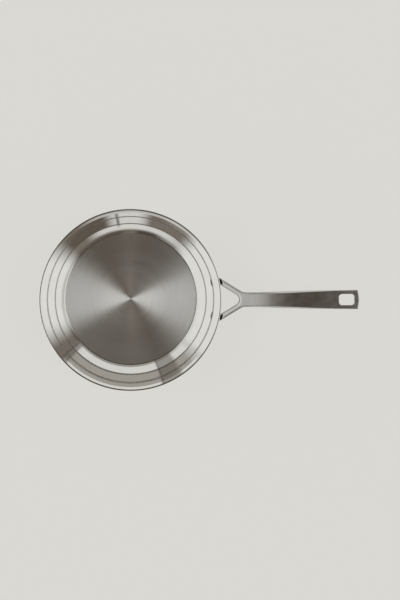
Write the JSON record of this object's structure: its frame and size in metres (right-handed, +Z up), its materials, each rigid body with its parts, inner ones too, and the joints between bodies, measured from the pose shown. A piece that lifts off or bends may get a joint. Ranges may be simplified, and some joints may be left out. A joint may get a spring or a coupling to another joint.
{
  "type": "frying pan",
  "caption": "Shallow round steel pan with a stepped wall, a flared rim, a thick flat sandwich base and a long forked handle with a hanging hole.",
  "frame": {"origin": "centre of the base's underside, on the surface that the pan stands on", "axes": "+X from the pan's centre along the handle, +Z up through the open top"},
  "size_m": [0.448, 0.256, 0.086],
  "materials": {
    "body_steel": "mirror-polished wall and lip, floor brushed in circles",
    "disc_aluminium": "rolled",
    "cap_steel": "brushed in circles, with turned grooves",
    "handle_steel": "polished casting",
    "rivet_steel": "polished"
  },
  "bodies": {
    "root": {"pan_body": "body_steel", "heat_disc": "disc_aluminium", "base_cap": "cap_steel", "handle": "handle_steel", "rivet_left": "rivet_steel", "rivet_right": "rivet_steel"}
  },
  "joints": []
}
